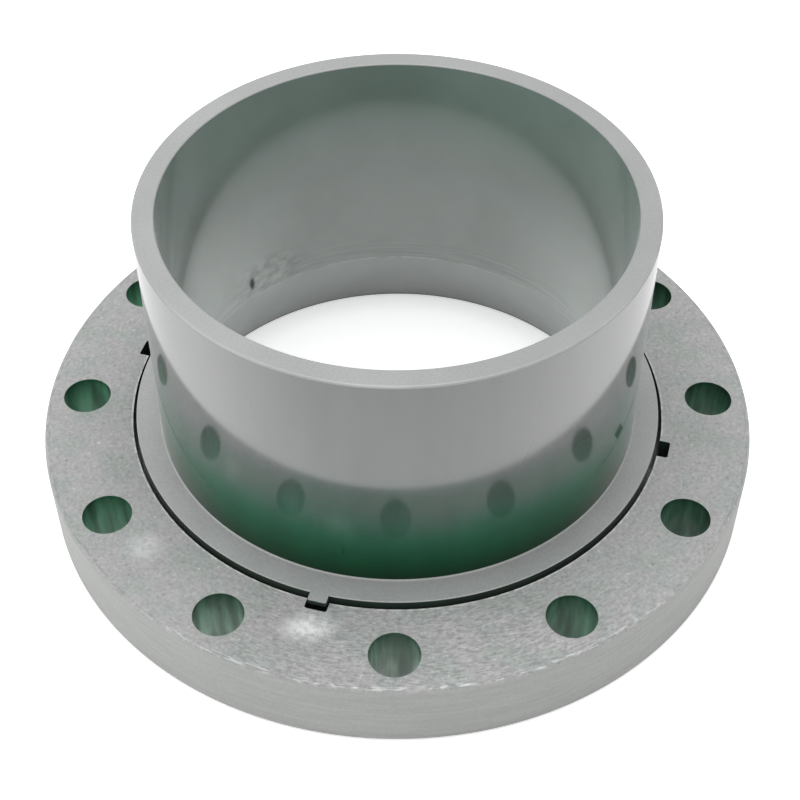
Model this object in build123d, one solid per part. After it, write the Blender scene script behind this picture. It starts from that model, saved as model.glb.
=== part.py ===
from build123d import *
import os
from math import radians, tan

# A loose-ring flange of rigid PVC for 10 inch pipe, drilled as class 150.
# Two mouldings: a hub, which is glued into a pipe fitting by its plain spigot,
# and a backing ring, which turns round the hub and takes the bolts.
# The frame stands on the hub's gasket face, with +Z up the pipe's axis.
# All sizes are in millimetres. Radii run outwards from the pipe, so the gaps
# and lands below add up to a bolt circle of 361.95 and an outside of 406.4.

# The spigot, which has the size of the pipe itself
PIPE_OD = 273.05
THROAT_WALL = 15.07        # the pipe's own wall, where the bore is narrowest
SPIGOT_LENGTH = 141.8      # from the collar's top to the rim
BORE_DRAFT = 1.37          # degrees that the bore opens by towards the rim
RIM_BEVEL = 1.6            # outside of the rim
RIM_BORE_BEVEL = 0.8       # inside of the rim

# The flare under the throat, which lets a valve's disc swing into the bore
FLARE_DEPTH = 47.7
FLARE_STEP = 18.0          # how much wider in radius the face's opening is
MOUTH_BEVEL = 1.2

# The collar, a thick shoulder that centres the ring
COLLAR_STEP = 14.25        # how far it stands out from the spigot
COLLAR_PROUD = 3.2         # how far its top stands above the ring's
COLLAR_BEVEL = 0.6
SPIGOT_ROOT = 1.6          # the sloped root between spigot and collar

# The stub flange, which the ring pulls against the gasket
SEAT_WIDTH = 8.9           # how far it reaches under the ring's bore
STUB_THICKNESS = 19.05
STUB_BEVEL = 1.5
STUB_ROOT = 1.5            # the sloped root between stub flange and collar

# The sealing grooves in the gasket face
GROOVE_COUNT = 2
GROOVE_PITCH = 6.0
GROOVE_DEPTH = 0.8

# The backing ring
RING_THICKNESS = 42.9
FACE_PROUD = 1.0           # how far the gasket face stands below the ring
RING_TOP_ROUND = 2.2
RING_FOOT_BEVEL = 1.2
RING_BORE_BEVEL = 0.6

# The ring's clearances on the hub
BORE_GAP = 2.2             # round the collar
SEAT_GAP = 0.3             # over the stub flange
RECESS_GAP = 1.2           # round the stub flange

# The bolt holes
BOLT_COUNT = 12
BOLT_HOLE = 27.0
BOLT_LAND = 4.4            # ring left between its recess and a hole
RIM_LAND = 8.725           # ring left between a hole and its outside
FIRST_BOLT = -90.0         # degrees, at the front

# The lugs, which pass down the ring's notches and then hold the turned ring
NOTCH_COUNT = 4
NOTCH_WIDTH = 12.0
NOTCH_END_GAP = 2.9        # left beyond a lug
NOTCH_CORNER = 1.2         # radius of its two corners
LUG_COUNT = 2
LUG_HOLD = 3.0             # how far a lug reaches over the ring
LUG_CORNER = 0.8           # radius of its two corners
LUG_SIDE_GAP = 1.0         # on each side of a lug, in a notch
LUG_GAP = 0.4              # under a lug, over the ring

# Radii, from the bore outwards
pipe_r = PIPE_OD / 2
throat_r = pipe_r - THROAT_WALL
mouth_r = throat_r + FLARE_STEP
collar_r = pipe_r + COLLAR_STEP
ring_bore_r = collar_r + BORE_GAP
lug_r = ring_bore_r + LUG_HOLD
notch_r = lug_r + NOTCH_END_GAP
stub_r = ring_bore_r + SEAT_WIDTH
recess_r = stub_r + RECESS_GAP
bolt_circle_r = recess_r + BOLT_LAND + BOLT_HOLE / 2
ring_r = bolt_circle_r + BOLT_HOLE / 2 + RIM_LAND

# Heights, from the gasket face upwards
ring_foot = FACE_PROUD
recess_top = STUB_THICKNESS + SEAT_GAP
ring_top = ring_foot + RING_THICKNESS
lug_foot = ring_top + LUG_GAP
collar_top = ring_top + COLLAR_PROUD
rim_top = collar_top + SPIGOT_LENGTH
rim_bore_r = throat_r + (rim_top - FLARE_DEPTH) * tan(radians(BORE_DRAFT))

# Notches and lugs lie midway between two bolt holes
first_notch = FIRST_BOLT - 180 / BOLT_COUNT


def section(corners):
    """A face in radius and height, from corners given as (radius, height, bevel)."""
    face = make_face(Polyline([(r, z) for r, z, bevel in corners], close=True))
    for r, z, bevel in corners:
        if bevel:
            face = chamfer(face.vertices().sort_by_distance((r, z))[0], bevel)
    return face


def turned(face):
    """The solid that a section makes when it is turned about the pipe's axis."""
    return revolve(Plane.XZ * face, Axis.Z)


def grooves():
    """Squares on their corners along the gasket face, whose upper halves cut V grooves."""
    middle = (mouth_r + stub_r) / 2
    side = GROOVE_DEPTH * 2 ** 0.5
    first = middle - GROOVE_PITCH * (GROOVE_COUNT - 1) / 2
    return [
        Pos(first + GROOVE_PITCH * turn, 0) * Rectangle(side, side, rotation=45)
        for turn in range(GROOVE_COUNT)
    ]


def lug():
    """One lug, reaching out of the collar along +X, flush with the collar's top."""
    root_r = pipe_r + COLLAR_STEP / 2
    width = NOTCH_WIDTH - 2 * LUG_SIDE_GAP
    plate = Pos((root_r + lug_r) / 2, 0) * RectangleRounded(lug_r - root_r, width, LUG_CORNER)
    return Pos(0, 0, lug_foot) * extrude(plate, collar_top - lug_foot)


def make_hub():
    """Spigot, collar and stub flange in one moulding, with its two lugs."""
    profile = section([
        (mouth_r, 0, MOUTH_BEVEL),
        (stub_r, 0, STUB_BEVEL),
        (stub_r, STUB_THICKNESS, 0),
        (collar_r, STUB_THICKNESS, STUB_ROOT),
        (collar_r, collar_top, COLLAR_BEVEL),
        (pipe_r, collar_top, SPIGOT_ROOT),
        (pipe_r, rim_top, RIM_BEVEL),
        (rim_bore_r, rim_top, RIM_BORE_BEVEL),
        (throat_r, FLARE_DEPTH, 0),
    ])
    hub = turned(profile - grooves())
    spots = PolarLocations(0, LUG_COUNT, start_angle=first_notch)
    return hub + [spot * lug() for spot in spots]


def make_ring():
    """The flat ring: recessed for the stub flange, notched for the lugs and drilled."""
    blank = turned(section([
        (recess_r, ring_foot, 0),
        (ring_r, ring_foot, RING_FOOT_BEVEL),
        (ring_r, ring_top, 0),
        (ring_bore_r, ring_top, RING_BORE_BEVEL),
        (ring_bore_r, recess_top, STUB_ROOT + SEAT_GAP),
        (recess_r, recess_top, 0),
    ]))
    rim = blank.edges().filter_by(GeomType.CIRCLE).group_by(Axis.Z)[-1].sort_by(SortBy.RADIUS)[-1]
    ring = fillet(rim, RING_TOP_ROUND)
    plan = Pos(notch_r / 2, 0) * RectangleRounded(notch_r, NOTCH_WIDTH, NOTCH_CORNER)
    notch = Pos(0, 0, ring_foot) * extrude(plan, RING_THICKNESS)
    ring -= [spot * notch for spot in PolarLocations(0, NOTCH_COUNT, start_angle=first_notch)]
    hole = Pos(0, 0, ring_foot) * extrude(Circle(BOLT_HOLE / 2), RING_THICKNESS)
    spots = PolarLocations(bolt_circle_r, BOLT_COUNT, start_angle=FIRST_BOLT)
    return ring - [spot * hole for spot in spots]


parts = {
    "spigot_hub": make_hub(),
    "backing_ring": make_ring(),
}

os.makedirs("parts", exist_ok=True)
for node, shape in parts.items():
    export_step(shape, f"parts/{node}.step")
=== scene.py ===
from math import cos, pi, radians, sin

import bpy
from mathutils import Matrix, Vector


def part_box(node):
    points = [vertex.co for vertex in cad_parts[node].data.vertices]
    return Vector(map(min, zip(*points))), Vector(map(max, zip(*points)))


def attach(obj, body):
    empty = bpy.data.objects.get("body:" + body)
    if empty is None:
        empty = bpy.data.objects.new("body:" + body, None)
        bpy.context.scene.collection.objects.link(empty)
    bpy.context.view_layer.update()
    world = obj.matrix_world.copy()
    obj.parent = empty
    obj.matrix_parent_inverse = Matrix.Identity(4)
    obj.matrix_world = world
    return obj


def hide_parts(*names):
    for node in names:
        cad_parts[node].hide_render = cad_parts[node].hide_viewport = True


# A loose-ring flange of rigid PVC for 10 inch pipe. Its two mouldings are dressed on the packed
# model's bodies, in metres, with the hub's gasket face at z = 0 and +Z up the pipe.
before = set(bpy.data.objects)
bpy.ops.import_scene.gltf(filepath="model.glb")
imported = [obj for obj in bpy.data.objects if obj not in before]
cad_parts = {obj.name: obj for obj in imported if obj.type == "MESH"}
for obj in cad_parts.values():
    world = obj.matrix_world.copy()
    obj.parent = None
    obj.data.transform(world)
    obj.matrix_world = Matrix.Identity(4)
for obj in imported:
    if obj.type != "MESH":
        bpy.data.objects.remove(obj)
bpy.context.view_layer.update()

# Spigot hub
# One moulding of grey rigid PVC: the pipe-sized barrel, the collar that centres the ring, two
# lugs on the collar, and the stub flange that seals on a gasket. Its walls are glossy, and its
# rim, collar top and gasket face are sawn or turned.
hub_low, hub_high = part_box("spigot_hub")
pipe_radius = 0.136525
throat_radius = 0.121455
rim_bore_radius = 0.12483
mouth_radius = 0.139455
flare_depth = 0.0477
stub_radius = hub_high.x
stub_thickness = 0.01905
collar_radius = 0.150775
collar_top = 0.0471
rim_top = hub_high.z


def add(tree, kind, inputs=None, **settings):
    """Adds a node to a tree. An input is given a value, or a socket that is linked to it."""
    node = tree.nodes.new(kind)
    for name, value in settings.items():
        setattr(node, name, value)
    for name, value in (inputs or {}).items():
        if isinstance(value, bpy.types.NodeSocket):
            tree.links.new(value, node.inputs[name])
        else:
            node.inputs[name].default_value = value
    return node


def calc(tree, operation, first, second=0.0, third=0.0):
    """One step of arithmetic on numbers or sockets."""
    numbers = {0: first, 1: second, 2: third}
    return add(tree, "ShaderNodeMath", numbers, operation=operation).outputs[0]


def new_material(name):
    """A material, its nodes, its surface shader, and the sockets that say where a point lies."""
    material = bpy.data.materials.new(name)
    material.use_nodes = True
    nodes = material.node_tree
    spot = add(nodes, "ShaderNodeTexCoord").outputs
    level = {0: spot["Object"], 1: (1.0, 1.0, 0.0)}
    flat = add(nodes, "ShaderNodeVectorMath", level, operation="MULTIPLY").outputs[0]
    length = add(nodes, "ShaderNodeVectorMath", {0: flat}, operation="LENGTH")
    east, north, height = add(nodes, "ShaderNodeSeparateXYZ", {0: spot["Object"]}).outputs
    where = {
        "place": spot["Object"],
        "flat": flat,
        "radius": length.outputs["Value"],
        "east": east,
        "north": north,
        "height": height,
        "facing up": add(nodes, "ShaderNodeSeparateXYZ", {0: spot["Normal"]}).outputs[2],
    }
    return material, nodes, nodes.nodes["Principled BSDF"], where


def rise(tree, value, start, end, low=0.0, high=1.0):
    """Goes smoothly from low to high as a value goes from start to end."""
    return add(tree, "ShaderNodeMapRange", {
        "Value": value, "From Min": start, "From Max": end, "To Min": low, "To Max": high,
    }, interpolation_type="SMOOTHSTEP").outputs["Result"]


def product(tree, first, second):
    """Two numbers multiplied."""
    return calc(tree, "MULTIPLY", first, second)


def band(tree, value, start, full, fade, end):
    """1 while a value lies between full and fade, and 0 before start and after end."""
    return product(tree, rise(tree, value, start, full), rise(tree, value, fade, end, 1.0, 0.0))


def between(tree, share, first, second):
    """A number that goes from the first to the second as a share goes from 0 to 1."""
    inputs = {"Factor": share, "A": first, "B": second}
    return add(tree, "ShaderNodeMix", inputs, data_type="FLOAT").outputs["Result"]


def blend(tree, share, first, second):
    """A colour that goes from the first to the second as a share goes from 0 to 1."""
    inputs = {"Factor": share}
    for name, colour in {"A": first, "B": second}.items():
        inputs[name] = (*colour, 1.0) if isinstance(colour, tuple) else colour
    return add(tree, "ShaderNodeMix", inputs, data_type="RGBA").outputs["Result"]


def tinted(tree, colour, strength):
    """A colour made lighter or darker by a strength."""
    inputs = {0: colour, "Scale": strength}
    return add(tree, "ShaderNodeVectorMath", inputs, operation="SCALE").outputs[0]


def by_height(tree, height, colours):
    """A colour that follows the height, from a dictionary with the colour at some heights."""
    heights = list(colours)
    low = heights[0]
    high = heights[-1]
    share = add(tree, "ShaderNodeMapRange", {"Value": height, "From Min": low, "From Max": high})
    ramp = add(tree, "ShaderNodeValToRGB", {0: share.outputs["Result"]})
    stops = ramp.color_ramp.elements
    for at in heights[1:-1]:
        stops.new((at - low) / (high - low))
    for stop, at in zip(stops, heights):
        stop.color = (*colours[at], 1.0)
    return ramp.outputs["Color"]


def noise(tree, place, scale, detail=2.0, stretch=(1.0, 1.0, 1.0)):
    """Noise from 0 to 1 on a place that is stretched in X, Y and Z."""
    drawn = add(tree, "ShaderNodeVectorMath", {0: place, 1: stretch}, operation="MULTIPLY")
    inputs = {"Vector": drawn.outputs[0], "Scale": scale, "Detail": detail}
    return add(tree, "ShaderNodeTexNoise", inputs).outputs["Fac"]


def near(tree, place, middle, reach, fade):
    """A soft round patch: 1 about its middle, and 0 from its reach in X, Y and Z onwards."""
    away = add(tree, "ShaderNodeVectorMath", {0: place, 1: middle}, operation="SUBTRACT")
    share = add(tree, "ShaderNodeVectorMath", {0: away.outputs[0], 1: reach}, operation="DIVIDE")
    length = add(tree, "ShaderNodeVectorMath", {0: share.outputs[0]}, operation="LENGTH")
    return rise(tree, length.outputs["Value"], fade, 1.0, 1.0, 0.0)


# The barrel: painted shade and a painted reflection make it green and nearly black at its foot,
# greyer up it, with faint upright streaks
hub_pvc, nodes, shader, where = new_material("glossy_pvc")
barrel_painted_shade_colours = {
    0.046: (0.030, 0.046, 0.037),
    0.048: (0.000, 0.026, 0.008),
    0.062: (0.002, 0.058, 0.022),
    0.080: (0.016, 0.098, 0.056),
    0.092: (0.038, 0.112, 0.078),
    0.115: (0.070, 0.108, 0.092),
    0.130: (0.095, 0.108, 0.101),
}
cloud_grey = (0.105, 0.112, 0.108)
streak_stretch = (1.0, 1.0, 0.25)
streaks = noise(nodes, where["place"], scale=45.0, detail=3.0, stretch=streak_stretch)
clouds = rise(nodes, noise(nodes, where["place"], scale=18.0, detail=3.0), 0.3, 0.7)
# Painted shade and reflection: darker and greener towards the foot
barrel = by_height(nodes, where["height"], barrel_painted_shade_colours)
barrel = tinted(nodes, barrel, rise(nodes, streaks, 0.3, 0.7, 0.88, 1.12))
greyer = product(nodes, clouds, rise(nodes, where["height"], 0.072, 0.110, 0.0, 0.5))
barrel = blend(nodes, greyer, barrel, cloud_grey)

# The bore: pale, with painted shade that darkens and greens it up towards the rim, painted light
# that makes it paler low down at both sides, and painted shade at the very edge of its mouth
bore_painted_shade_colours = {
    0.000: (0.25, 0.27, 0.26),
    0.050: (0.30, 0.33, 0.315),
    0.085: (0.26, 0.29, 0.275),
    0.120: (0.18, 0.22, 0.197),
    0.165: (0.15, 0.22, 0.187),
}
bore = by_height(nodes, where["height"], bore_painted_shade_colours)
bore = tinted(nodes, bore, rise(nodes, clouds, 0.0, 1.0, 0.94, 1.06))
# Painted light: paler low down at both sides
aside = rise(nodes, calc(nodes, "ABSOLUTE", where["east"]), 0.045, 0.115)
painted_side_light = product(nodes, aside, rise(nodes, where["height"], 0.07, 0.15, 0.50, -0.08))
bore = tinted(nodes, bore, calc(nodes, "ADD", painted_side_light, 1.0))
# Painted shade at the very edge of the mouth, where it meets the floor
bore = tinted(nodes, bore, rise(nodes, where["height"], 0.0008, 0.0030, 0.25, 1.0))

# Fine turning lines round the bore, just over the throat
turning_stretch = (0.03, 0.03, 1.0)
turning = noise(nodes, where["place"], scale=700.0, stretch=turning_stretch)
turning = rise(nodes, turning, 0.3, 0.7, -0.10, 0.10)
turned_band = band(nodes, where["height"], 0.046, 0.050, 0.056, 0.066)
turning = product(nodes, turning, turned_band)
bore = tinted(nodes, bore, calc(nodes, "ADD", turning, 1.0))

# Scuffs on the bore's wall over the throat, with a dark knock among them
scuff_middle = (-0.080, 0.092, 0.060)
scuff_reach = (0.036, 0.036, 0.019)
scratch_stretch = (1.0, 1.0, 1.5)
knock_middle = (-0.0898, 0.0821, 0.0588)
knock_reach = (0.0030, 0.0030, 0.0066)
knock_dark = (0.020, 0.026, 0.023)
scuffed = near(nodes, where["place"], scuff_middle, scuff_reach, fade=0.3)
scratches = noise(nodes, where["place"], scale=130.0, detail=6.0, stretch=scratch_stretch)
scratch_tone = rise(nodes, scratches, 0.35, 0.65, 0.74, 1.14)
bore = tinted(nodes, bore, between(nodes, scuffed, 1.0, scratch_tone))
knock = near(nodes, where["place"], knock_middle, knock_reach, fade=0.3)
bore = blend(nodes, knock, bore, knock_dark)

# The throat's edge, pale in a broken line
edge_stretch = (1.0, 1.0, 0.2)
throat_line_grey = (0.45, 0.47, 0.46)
off_edge = calc(nodes, "ABSOLUTE", calc(nodes, "SUBTRACT", where["height"], flare_depth))
edge_line = rise(nodes, off_edge, 0.0003, 0.0009, 1.0, 0.0)
edge_breaks = noise(nodes, where["place"], scale=70.0, stretch=edge_stretch)
edge_breaks = rise(nodes, edge_breaks, 0.35, 0.55)
bore = blend(nodes, product(nodes, edge_line, edge_breaks), bore, throat_line_grey)

# Which walls are the bore's, from the mouth to the rim, and which the barrel's and collar's
in_mouth = product(nodes,
                   rise(nodes, where["height"], 0.040, 0.047, 1.0, 0.0),
                   rise(nodes, where["radius"], 0.1400, 0.1420, 1.0, 0.0))
in_barrel = rise(nodes, where["radius"], 0.1305, 0.1315, 1.0, 0.0)
in_bore = calc(nodes, "MAXIMUM", in_mouth, in_barrel)
walls = blend(nodes, in_bore, barrel, bore)

# Its ends: sawn or turned flat, so pale and dull. Painted light lifts the collar top's shade, so it
# is paler than the rim, and makes the ends palest towards the back and the left
faced_painted_light_greys = {0.10: (0.325, 0.335, 0.330), 0.15: (0.260, 0.271, 0.266)}
rim_edge_highlight_grey = (0.36, 0.372, 0.367)
under_grey = (0.20, 0.21, 0.205)
grain = noise(nodes, where["place"], scale=900.0, detail=3.0)
faced = by_height(nodes, where["height"], faced_painted_light_greys)
faced = tinted(nodes, faced, rise(nodes, grain, 0.3, 0.7, 0.92, 1.08))
faced = tinted(nodes, faced, rise(nodes, clouds, 0.0, 1.0, 0.95, 1.06))
# Painted light: paler towards the left and the back
faced = tinted(nodes, faced, rise(nodes, where["east"], -0.14, 0.14, 1.11, 0.94))
faced = tinted(nodes, faced, rise(nodes, where["north"], -0.14, 0.14, 0.95, 1.07))
# Painted highlight along the rim's outer rounding, broken by the clouds
rim_edge_highlight = product(nodes,
                   rise(nodes, where["radius"], pipe_radius - 0.0013, pipe_radius - 0.0008),
                   rise(nodes, where["height"], rim_top - 0.0016, rim_top - 0.0012))
rim_edge_highlight = product(nodes, rim_edge_highlight, rise(nodes, clouds, 0.3, 0.9, 0.35, 1.0))
faced = blend(nodes, rim_edge_highlight, faced, rim_edge_highlight_grey)
on_top = rise(nodes, where["facing up"], 0.05, 0.40)
below = rise(nodes, where["facing up"], -0.9, -0.6, 1.0, 0.0)
colour = blend(nodes, on_top, walls, faced)
colour = blend(nodes, below, colour, under_grey)
nodes.links.new(colour, shader.inputs["Base Color"])

# Its gloss: fullest at a slant and up the barrel, dull on the ends, and weak and green at the
# barrel's foot, which is painted shade in its reflection.
# A coat on the upper walls and a little sheen lighten what is seen at a slant.
barrel_gloss_painted_shade = {
    0.048: (0.02, 0.06, 0.04),
    0.060: (0.04, 0.10, 0.07),
    0.085: (0.15, 0.26, 0.20),
    0.112: (0.60, 0.68, 0.64),
    0.122: (1.0, 1.0, 1.0),
}
full_gloss = (1.0, 1.0, 1.0)
knock_gloss = (0.2, 0.2, 0.2)
dull_gloss = (0.55, 0.55, 0.55)
dull_roughness = 0.5
dull = calc(nodes, "MAXIMUM", on_top, below)
wall_roughness = rise(nodes, clouds, 0.0, 1.0, 0.085, 0.11)
roughness = between(nodes, dull, wall_roughness, dull_roughness)
nodes.links.new(roughness, shader.inputs["Roughness"])
slant = add(nodes, "ShaderNodeLayerWeight", {"Blend": 0.5}).outputs["Facing"]
gloss = by_height(nodes, where["height"], barrel_gloss_painted_shade)
gloss = blend(nodes, in_bore, gloss, full_gloss)
gloss = tinted(nodes, gloss, rise(nodes, slant, 0.25, 0.60, 0.51, 1.0))
gloss = blend(nodes, rise(nodes, slant, 0.55, 0.90, 0.0, 0.7), gloss, full_gloss)
gloss = blend(nodes, knock, gloss, knock_gloss)
gloss = blend(nodes, dull, gloss, dull_gloss)
nodes.links.new(gloss, shader.inputs["Specular Tint"])
coat = product(nodes,
               rise(nodes, where["height"], 0.065, 0.115, 0.0, 0.5),
               rise(nodes, dull, 0.0, 1.0, 1.0, 0.0))
nodes.links.new(coat, shader.inputs["Coat Weight"])
shader.inputs["Coat Roughness"].default_value = 0.09
shader.inputs["IOR"].default_value = 3.0
shader.inputs["Sheen Weight"].default_value = 0.15
shader.inputs["Sheen Roughness"].default_value = 0.35


def new_tree(name, sizes):
    """A geometry tree with a named input for each size, and those inputs' sockets inside it."""
    tree = bpy.data.node_groups.new(name, "GeometryNodeTree")
    tree.interface.new_socket("Geometry", in_out="OUTPUT", socket_type="NodeSocketGeometry")
    kinds = {tuple: "NodeSocketVector", int: "NodeSocketInt", float: "NodeSocketFloat"}
    for size, value in sizes.items():
        kind = kinds.get(type(value), "NodeSocketMaterial")
        tree.interface.new_socket(size, in_out="INPUT", socket_type=kind)
    return tree, tree.nodes.new("NodeGroupInput").outputs


def turned(tree, corners, steps, arc_steps):
    """A closed section turned about Z, from sockets with a corner's radius, height and rounding."""
    path_radius = 0.1
    merge_distance = 1e-6
    index = add(tree, "GeometryNodeInputIndex").outputs[0]
    corner = add(tree, "GeometryNodeIndexSwitch", data_type="VECTOR")
    while len(corner.index_switch_items) < len(corners):
        corner.index_switch_items.new()
    tree.links.new(index, corner.inputs["Index"])
    for number, socket in enumerate(corners, 1):
        tree.links.new(socket, corner.inputs[number])
    split = add(tree, "ShaderNodeSeparateXYZ", {0: corner.outputs[0]})
    radius, height, rounding = split.outputs
    beside = calc(tree, "SUBTRACT", radius, path_radius)
    below = calc(tree, "MULTIPLY", height, -1.0)
    spot = add(tree, "ShaderNodeCombineXYZ", {0: beside, 1: below})
    points = add(tree, "GeometryNodePoints", {"Count": len(corners), "Position": spot.outputs[0]})
    outline = add(tree, "GeometryNodePointsToCurves", {
        "Points": points.outputs[0], "Weight": index})
    closed = add(tree, "GeometryNodeSetSplineCyclic", {0: outline.outputs[0], "Cyclic": True})
    section = add(tree, "GeometryNodeFilletCurve", {
        "Curve": closed.outputs[0], "Count": arc_steps, "Radius": rounding}, mode="POLY")
    path = add(tree, "GeometryNodeCurvePrimitiveCircle", {
        "Resolution": steps, "Radius": path_radius})
    upright = add(tree, "GeometryNodeSetCurveNormal", {"Curve": path.outputs[0]}, mode="Z_UP")
    swept = add(tree, "GeometryNodeCurveToMesh", {
        "Curve": upright.outputs[0], "Profile Curve": section.outputs[0]})
    merged = add(tree, "GeometryNodeMergeByDistance", {
        "Geometry": swept.outputs[0], "Distance": merge_distance})
    return add(tree, "GeometryNodeFlipFaces", {"Mesh": merged.outputs[0]}).outputs[0]


def block(tree, middle, size, corner_radius, arc_steps):
    """An upright block with rounded corners in plan."""
    width, depth, height = add(tree, "ShaderNodeSeparateXYZ", {0: size}).outputs
    plan = add(tree, "GeometryNodeCurvePrimitiveQuadrilateral", {"Width": width, "Height": depth})
    rounded = add(tree, "GeometryNodeFilletCurve", {
        "Curve": plan.outputs[0], "Count": arc_steps, "Radius": corner_radius}, mode="POLY")
    half = calc(tree, "MULTIPLY", height, 0.5)
    foot = add(tree, "ShaderNodeCombineXYZ", {2: calc(tree, "MULTIPLY", half, -1.0)})
    head = add(tree, "ShaderNodeCombineXYZ", {2: half})
    line = add(tree, "GeometryNodeCurvePrimitiveLine", {
        "Start": foot.outputs[0], "End": head.outputs[0]})
    prism = add(tree, "GeometryNodeCurveToMesh", {
        "Curve": line.outputs[0], "Profile Curve": rounded.outputs[0], "Fill Caps": True})
    return add(tree, "GeometryNodeTransform", {
        "Geometry": prism.outputs[0], "Translation": middle}).outputs[0]


def around(tree, shape, count, radius, first_angle):
    """Copies of a shape at even turns about Z, each moved out along its own +X by a radius."""
    index = add(tree, "GeometryNodeInputIndex").outputs[0]
    turn = calc(tree, "DIVIDE", 2 * pi, count)
    angle = calc(tree, "MULTIPLY_ADD", index, turn, first_angle)
    way = add(tree, "ShaderNodeCombineXYZ", {
        0: calc(tree, "COSINE", angle), 1: calc(tree, "SINE", angle)})
    out = {0: way.outputs[0], "Scale": radius}
    spot = add(tree, "ShaderNodeVectorMath", out, operation="SCALE")
    points = add(tree, "GeometryNodePoints", {"Count": count, "Position": spot.outputs[0]})
    facing = add(tree, "ShaderNodeCombineXYZ", {2: angle})
    copies = add(tree, "GeometryNodeInstanceOnPoints", {
        "Points": points.outputs[0], "Instance": shape, "Rotation": facing.outputs[0]})
    return add(tree, "GeometryNodeRealizeInstances", {"Geometry": copies.outputs[0]}).outputs[0]


def finish_tree(tree, mesh, material):
    """Ends a tree in Realize Instances and Set Material, with smooth shading between them."""
    whole = add(tree, "GeometryNodeRealizeInstances", {"Geometry": mesh})
    smooth = add(tree, "GeometryNodeSetShadeSmooth", {"Geometry": whole.outputs[0]})
    dressed = add(tree, "GeometryNodeSetMaterial", {
        "Geometry": smooth.outputs[0], "Material": material})
    add(tree, "NodeGroupOutput", {0: dressed.outputs[0]})


def make_piece(name, tree, sizes, edge_rounding):
    """Runs a tree on a new object, rounds its sharp edges, and keeps the result as a plain mesh."""
    maker = bpy.data.objects.new(name + "_maker", bpy.data.meshes.new(name + "_maker"))
    bpy.context.scene.collection.objects.link(maker)
    shape = maker.modifiers.new("Shape", "NODES")
    shape.node_group = tree
    for item in tree.interface.items_tree:
        if item.in_out == "INPUT":
            shape[item.identifier] = sizes[item.name]
    edges = maker.modifiers.new("Edges", "BEVEL")
    edges.width = edge_rounding
    edges.segments = 3
    edges.angle_limit = radians(50)
    edges.use_clamp_overlap = True
    normals = maker.modifiers.new("Normals", "WEIGHTED_NORMAL")
    normals.weight = 100
    normals.keep_sharp = True
    made = maker.evaluated_get(bpy.context.evaluated_depsgraph_get())
    mesh = bpy.data.meshes.new_from_object(made)
    mesh.name = name
    bpy.data.objects.remove(maker)
    piece = bpy.data.objects.new(name, mesh)
    bpy.context.scene.collection.objects.link(piece)
    return piece


# Its section, from the mouth outwards and up: a corner's radius, height and rounding
groove_count = 2
groove_pitch = 0.006
groove_depth = 0.0008
steps_round = 288
arc_steps = 6
hub_corners = {"Mouth": (mouth_radius, hub_low.z, 0.0012)}
for number in range(groove_count):
    middle = (mouth_radius + stub_radius + groove_pitch * (2 * number + 1 - groove_count)) / 2
    hub_corners |= {
        f"Groove {number + 1} inside": (middle - groove_depth, hub_low.z, 0.0),
        f"Groove {number + 1} bottom": (middle, hub_low.z + groove_depth, 0.0002),
        f"Groove {number + 1} outside": (middle + groove_depth, hub_low.z, 0.0),
    }
hub_corners |= {
    "Stub flange foot": (stub_radius, hub_low.z, 0.0015),
    "Stub flange top": (stub_radius, stub_thickness, 0.0004),
    "Collar foot": (collar_radius, stub_thickness, 0.0015),
    "Collar top": (collar_radius, collar_top, 0.0006),
    "Spigot root": (pipe_radius, collar_top, 0.0009),
    "Rim outside": (pipe_radius, rim_top, 0.0014),
    "Rim inside": (rim_bore_radius, rim_top, 0.0009),
    "Throat": (throat_radius, flare_depth, 0.0006),
}

# Its lugs, flush with the collar's top and midway between two bolt holes
lug_count = 2
lug_radius = 0.155975
lug_width = 0.010
lug_foot = 0.0443
lug_corner = 0.0008
lug_root = (pipe_radius + collar_radius) / 2
bolt_count = 12
first_bolt = -pi / 2
first_lug = first_bolt - pi / bolt_count
hub_edge = 0.0004
hub_sizes = {
    **hub_corners,
    "Lug size": (lug_radius - lug_root, lug_width, collar_top - lug_foot),
    "Lug middle": (0.0, 0.0, (collar_top + lug_foot) / 2),
    "Lug radius": (lug_radius + lug_root) / 2,
    "Lug corner": lug_corner,
    "Lug count": lug_count,
    "First lug": first_lug,
    "Steps round": steps_round,
    "Arc steps": arc_steps,
    "Material": hub_pvc,
}
tree, size = new_tree("spigot_hub", hub_sizes)
body = turned(tree, [size[name] for name in hub_corners], size["Steps round"], size["Arc steps"])
lug = block(tree, size["Lug middle"], size["Lug size"], size["Lug corner"], size["Arc steps"])
lugs = around(tree, lug, size["Lug count"], size["Lug radius"], size["First lug"])
joined = add(tree, "GeometryNodeMeshBoolean", {
    "Mesh 2": body}, operation="UNION", solver="MANIFOLD")
tree.links.new(lugs, joined.inputs["Mesh 2"])
finish_tree(tree, joined.outputs[0], size["Material"])
hub = make_piece("hub_moulding", tree, hub_sizes, hub_edge)
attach(hub, "hub")
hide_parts("spigot_hub")

# Backing ring
# A flat moulding of the same plastic, loose on the hub: recessed below for the stub flange,
# notched in its bore so that it passes the lugs, and drilled for twelve bolts. Its faces are
# dull and mottled.
ring_low, ring_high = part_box("backing_ring")
ring_radius = ring_high.x
ring_bore_radius = 0.152975
recess_radius = 0.163075
recess_top = 0.01935
bolt_circle_radius = 0.180975
bolt_hole_radius = 0.0135


def combed(tree, where, along, across):
    """Places on which a pattern runs round the axis in dashes, as long and as wide as is given."""
    way = add(tree, "ShaderNodeVectorMath", {0: where["flat"]}, operation="NORMALIZE")
    turn = {0: way.outputs[0], "Scale": bolt_circle_radius / along}
    run = add(tree, "ShaderNodeVectorMath", turn, operation="SCALE")
    out = add(tree, "ShaderNodeCombineXYZ", {2: calc(tree, "DIVIDE", where["radius"], across)})
    return add(tree, "ShaderNodeVectorMath", {0: run.outputs[0], 1: out.outputs[0]}).outputs[0]


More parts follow.
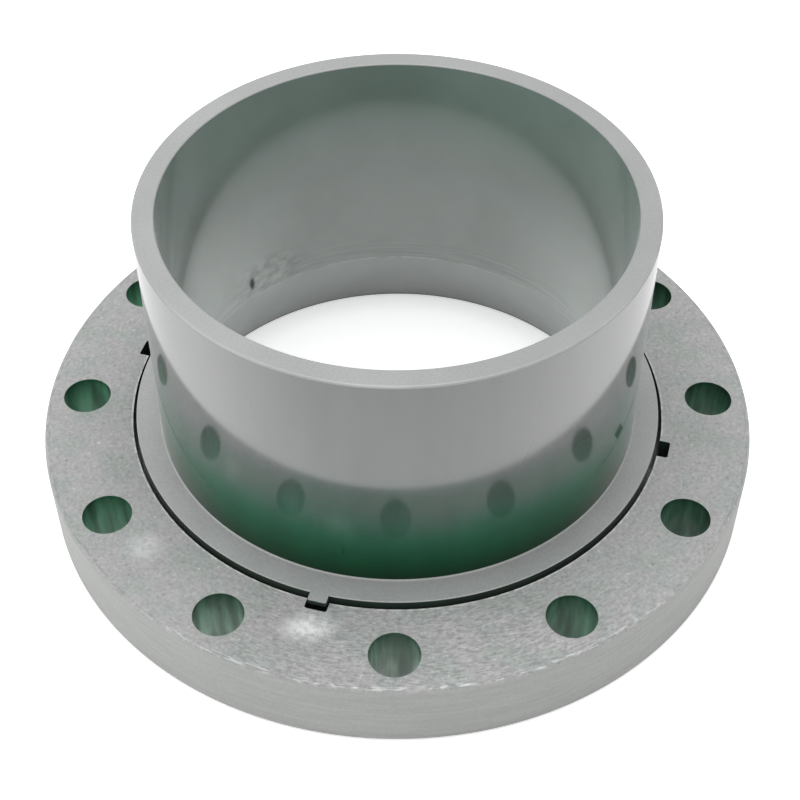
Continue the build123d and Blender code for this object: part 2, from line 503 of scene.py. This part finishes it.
# Its faces: greenish and pinkish clouds, a fine grain and faint turning marks
ring_pvc, nodes, shader, where = new_material("mottled_pvc")
green_grey = (0.345, 0.368, 0.356)
pink_grey = (0.385, 0.378, 0.380)
clouds = noise(nodes, where["place"], scale=45.0, detail=4.0)
drift = noise(nodes, where["place"], scale=11.0)
grain = noise(nodes, where["place"], scale=560.0, detail=3.0)
dashes = noise(nodes, combed(nodes, where, along=0.005, across=0.0011), scale=1.0)
face = blend(nodes, rise(nodes, clouds, 0.38, 0.62), green_grey, pink_grey)
face = tinted(nodes, face, rise(nodes, grain, 0.25, 0.75, 0.86, 1.13))
face = tinted(nodes, face, rise(nodes, dashes, 0.3, 0.7, 0.95, 1.05))
face = tinted(nodes, face, rise(nodes, drift, 0.35, 0.65, 0.95, 1.05))

# Its front is rougher, with short scratches that run round it, and all of it has fine specks
front_middle = (0.02, -0.180, ring_high.z)
front_reach = (0.19, 0.085, 0.05)
pale_speck = (0.58, 0.59, 0.58)
dark_speck = (0.21, 0.22, 0.215)
front_patch = near(nodes, where["place"], front_middle, front_reach, fade=0.3)
scratches = combed(nodes, where, along=0.0042, across=0.0010)
scratches = noise(nodes, scratches, scale=1.0, detail=3.0)
scratch_tone = rise(nodes, scratches, 0.32, 0.68, 0.82, 1.17)
face = tinted(nodes, face, between(nodes, front_patch, 1.0, scratch_tone))
face = blend(nodes, rise(nodes, grain, 0.68, 0.76), face, pale_speck)
face = blend(nodes, rise(nodes, grain, 0.24, 0.32, 1.0, 0.0), face, dark_speck)

# Two pale scuffs, each at an angle and a radius
scuff_and_highlight_grey = (0.76, 0.77, 0.76)
scuffs = (
    {"turn": radians(-105), "out": 0.1705, "reach": (0.0185, 0.0125, 0.01), "strength": 1.0},
    {"turn": radians(-140), "out": 0.1755, "reach": (0.014, 0.014, 0.01), "strength": 0.45},
)
faint_share = 0.45
blotches = noise(nodes, where["place"], scale=330.0, detail=4.0)
for scuff in scuffs:
    middle = (scuff["out"] * cos(scuff["turn"]), scuff["out"] * sin(scuff["turn"]), ring_high.z)
    patch = near(nodes, where["place"], middle, scuff["reach"], fade=0.15)
    faint = faint_share * scuff["strength"]
    speckle = rise(nodes, blotches, 0.35, 0.6, faint, scuff["strength"])
    face = blend(nodes, product(nodes, patch, speckle), face, scuff_and_highlight_grey)

# Its outer edge: a painted highlight in broken pale lines in front, and dark broken lines
# elsewhere. A painted highlight in a broken pale line runs along the edge of its bore
outer_edge_band = band(nodes, where["radius"],
              ring_radius - 0.0034, ring_radius - 0.0026,
              ring_radius - 0.0014, ring_radius - 0.0006)
highlight_dashes = product(nodes, rise(nodes, dashes, 0.50, 0.62, 0.0, 0.6), front_patch)
dark_dashes = product(nodes,
                      rise(nodes, dashes, 0.42, 0.54, 0.35, 0.0),
                      rise(nodes, front_patch, 0.0, 0.6, 1.0, 0.0))
face = blend(nodes, product(nodes, outer_edge_band, highlight_dashes), face, scuff_and_highlight_grey)
face = blend(nodes, product(nodes, outer_edge_band, dark_dashes), face, dark_speck)
# Painted highlight along the edge of the bore
bore_edge_highlight = rise(nodes, where["radius"],
                 ring_bore_radius + 0.0005, ring_bore_radius + 0.0014, 1.0, 0.0)
bore_edge_highlight = product(nodes, bore_edge_highlight, rise(nodes, dashes, 0.40, 0.60, 0.1, 0.6))
face = blend(nodes, bore_edge_highlight, face, scuff_and_highlight_grey)

# Its outer wall: smoother, with faint lines round it
wall_grey = (0.385, 0.395, 0.383)
line_stretch = (0.06, 0.06, 1.0)
lines = noise(nodes, where["place"], scale=550.0, detail=3.0, stretch=line_stretch)
wall = tinted(nodes, wall_grey, rise(nodes, lines, 0.3, 0.7, 0.94, 1.06))
wall = tinted(nodes, wall, rise(nodes, grain, 0.25, 0.75, 0.95, 1.05))
steepness = calc(nodes, "ABSOLUTE", where["facing up"])
upright = rise(nodes, steepness, 0.35, 0.8, 1.0, 0.0)
colour = blend(nodes, upright, face, wall)

# The bolt holes' walls: painted light low down and painted shade at the top, streaked, painted
# lighter in front and to the left, and painted greener shade at the back and the right. The wall
# of its own bore is painted nearly black as shade.
hole_lit_and_shaded_colours = {
    0.014: (0.80, 0.90, 0.84),
    0.028: (0.50, 0.70, 0.59),
    0.0425: (0.06, 0.16, 0.10),
}
hole_stretch = (1.0, 1.0, 0.15)
plain = (1.0, 1.0, 1.0)
shade_green_tint = (0.80, 1.18, 1.0)
ring_bore_painted_shade = (0.034, 0.052, 0.042)
face_roughness = 0.5
inner_roughness = 0.18
streaks = noise(nodes, where["place"], scale=150.0, detail=3.0, stretch=hole_stretch)
hole = by_height(nodes, where["height"], hole_lit_and_shaded_colours)
hole = tinted(nodes, hole, rise(nodes, streaks, 0.3, 0.7, 0.55, 1.4))
# Painted light: holes lighter in front and to the left
painted_light_by_place = product(nodes,
               rise(nodes, where["north"], -0.19, -0.12, 1.0, 0.55),
               rise(nodes, where["east"], -0.1, 0.1, 1.15, 0.75))
hole = tinted(nodes, hole, painted_light_by_place)
# Painted shade: greener at the back and the right
greener_shade = calc(nodes, "MAXIMUM",
               rise(nodes, where["north"], -0.17, -0.08),
               rise(nodes, where["east"], 0.03, 0.12))
tint = {0: hole, 1: blend(nodes, greener_shade, plain, shade_green_tint)}
hole = add(nodes, "ShaderNodeVectorMath", tint, operation="MULTIPLY").outputs[0]
# Painted shade: the wall of the ring's own bore nearly black
hole = blend(nodes, rise(nodes, where["radius"], 0.1595, 0.1620), ring_bore_painted_shade, hole)
inside_rim = rise(nodes, where["radius"],
                  bolt_circle_radius + 0.0145, bolt_circle_radius + 0.0175, 1.0, 0.0)
inner_wall = product(nodes, inside_rim, upright)
colour = blend(nodes, inner_wall, colour, hole)
nodes.links.new(colour, shader.inputs["Base Color"])
roughness = between(nodes, inner_wall, face_roughness, inner_roughness)
nodes.links.new(roughness, shader.inputs["Roughness"])
relief = product(nodes, grain, rise(nodes, inner_wall, 0.0, 1.0, 1.0, 0.0))
bump = add(nodes, "ShaderNodeBump", {"Height": relief, "Strength": 0.4, "Distance": 0.0002})
nodes.links.new(bump.outputs[0], shader.inputs["Normal"])

# Its section, from the recess outwards and up, then its holes and the notches in its bore
notch_count = 4
notch_width = 0.012
notch_corner = 0.0012
notch_radius = 0.158875
notch_inner_radius = 0.14
through = 0.1
steps_round_hole = 72
ring_edge = 0.0006
ring_corners = {
    "Recess foot": (recess_radius, ring_low.z, 0.0),
    "Outside foot": (ring_radius, ring_low.z, 0.0012),
    "Outside top": (ring_radius, ring_high.z, 0.0022),
    "Bore top": (ring_bore_radius, ring_high.z, 0.0),
    "Bore foot": (ring_bore_radius, recess_top, 0.0018),
    "Recess top": (recess_radius, recess_top, 0.0012),
}
notch_size = (notch_radius - notch_inner_radius, notch_width, 2 * (ring_high.z - ring_low.z))
ring_sizes = {
    **ring_corners,
    "Hole radius": bolt_hole_radius,
    "Hole length": through,
    "Hole count": bolt_count,
    "Bolt circle radius": bolt_circle_radius,
    "First bolt": first_bolt,
    "Notch size": notch_size,
    "Notch middle": (0.0, 0.0, (ring_high.z + ring_low.z) / 2),
    "Notch radius": (notch_radius + notch_inner_radius) / 2,
    "Notch corner": notch_corner,
    "Notch count": notch_count,
    "First notch": first_lug,
    "Steps round": steps_round,
    "Steps round a hole": steps_round_hole,
    "Arc steps": arc_steps,
    "Material": ring_pvc,
}
tree, size = new_tree("backing_ring", ring_sizes)
blank = turned(tree, [size[name] for name in ring_corners], size["Steps round"], size["Arc steps"])
drill = add(tree, "GeometryNodeMeshCylinder", {
    "Vertices": size["Steps round a hole"],
    "Radius": size["Hole radius"],
    "Depth": size["Hole length"],
})
drills = around(tree, drill.outputs[0],
                size["Hole count"], size["Bolt circle radius"], size["First bolt"])
notch = block(tree,
              size["Notch middle"], size["Notch size"], size["Notch corner"], size["Arc steps"])
notches = around(tree, notch, size["Notch count"], size["Notch radius"], size["First notch"])
cut = add(tree, "GeometryNodeMeshBoolean", {
    "Mesh 1": blank, "Mesh 2": drills}, operation="DIFFERENCE", solver="MANIFOLD")
tree.links.new(notches, cut.inputs["Mesh 2"])
finish_tree(tree, cut.outputs[0], size["Material"])
ring = make_piece("ring_moulding", tree, ring_sizes, ring_edge)
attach(ring, "ring")
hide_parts("backing_ring")

# Floor
# A white sheet. It shows white to the camera and in the gloss, and keeps the flange's soft shadow.
floor_half = 6.0
floor_white = (0.93, 0.93, 0.93, 1.0)
plain_white = (1.0, 1.0, 1.0, 1.0)
floor_shown = 0.5
floor_mirrored = 0.15
floor_roughness = 1.0
floor_mesh = bpy.data.meshes.new("floor")
floor_sides = ((-1, -1), (1, -1), (1, 1), (-1, 1))
floor_corners = [(x * floor_half, y * floor_half, 0.0) for x, y in floor_sides]
floor_mesh.from_pydata(floor_corners, [], [(0, 1, 2, 3)])
floor = bpy.data.objects.new("floor", floor_mesh)
bpy.context.scene.collection.objects.link(floor)
sheet_white = bpy.data.materials.new("white_sheet")
sheet_white.use_nodes = True
nodes = sheet_white.node_tree
shader = nodes.nodes["Principled BSDF"]
shader.inputs["Base Color"].default_value = floor_white
shader.inputs["Roughness"].default_value = floor_roughness
shader.inputs["Specular IOR Level"].default_value = 0.0
rays = add(nodes, "ShaderNodeLightPath").outputs
shown = product(nodes, rays["Is Camera Ray"], floor_shown)
mirrored = calc(nodes, "MAXIMUM", rays["Is Glossy Ray"], rays["Is Transmission Ray"])
glow = calc(nodes, "MULTIPLY_ADD", mirrored, floor_mirrored, shown)
shader.inputs["Emission Color"].default_value = plain_white
nodes.links.new(glow, shader.inputs["Emission Strength"])
floor_mesh.materials.append(sheet_white)

# Light
# Plain soft light, as in a white tent: brightest overhead and at both sides, a little more at the
# left. The camera and the gloss see the tent as white all round.
world = bpy.data.worlds.new("tent")
bpy.context.scene.world = world
world.use_nodes = True
sky = world.node_tree
background = sky.nodes["Background"]
background.inputs["Color"].default_value = plain_white
way = add(sky, "ShaderNodeTexCoord").outputs["Generated"]
side = add(sky, "ShaderNodeSeparateXYZ", {0: way}).outputs
overhead = add(sky, "ShaderNodeMapRange", {
    "Value": side["Z"], "From Min": 0.0, "From Max": 0.9, "To Min": 0.25, "To Max": 0.65})
left = rise(sky, side["X"], -0.9, -0.2, 1.1, 0.0)
right = rise(sky, side["X"], 0.2, 0.9, 0.0, 0.4)
brightness = calc(sky, "ADD", overhead.outputs["Result"], calc(sky, "ADD", left, right))
rays = add(sky, "ShaderNodeLightPath").outputs
seen = calc(sky, "MAXIMUM", rays["Is Camera Ray"], rays["Is Glossy Ray"])
seen = calc(sky, "MAXIMUM", seen, rays["Is Transmission Ray"])
sky.links.new(between(sky, seen, brightness, 1.0), background.inputs["Strength"])

lamp_watts = 14.0
lamp_width = 1.4
lamp_data = bpy.data.lights.new("ceiling_softbox", "AREA")
lamp_data.shape = "SQUARE"
lamp_data.size = lamp_width
lamp_data.energy = lamp_watts
lamp = bpy.data.objects.new("ceiling_softbox", lamp_data)
lamp.location = (0.0, 0.1, 1.8)
bpy.context.scene.collection.objects.link(lamp)

# Camera
# It stands in front and looks down at 45.6 degrees, as the photograph does, and its lens gives
# the photograph's frame at 800 by 800.
eye_distance = 0.62498
eye_height = 0.6796
eye_turn = radians(0.53)
aim_side = 0.0015
aim_height = 0.0414
eye = Vector((eye_distance * sin(eye_turn), -eye_distance * cos(eye_turn), eye_height))
aim = Vector((aim_side * cos(eye_turn), aim_side * sin(eye_turn), aim_height))
camera_data = bpy.data.cameras.new("camera")
camera_data.lens = 68.77
camera_data.sensor_width = 36.0
camera = bpy.data.objects.new("camera", camera_data)
camera.location = eye
camera.rotation_euler = (aim - eye).to_track_quat("-Z", "Y").to_euler()
bpy.context.scene.collection.objects.link(camera)
bpy.context.scene.camera = camera
bpy.context.scene.view_settings.view_transform = "Standard"
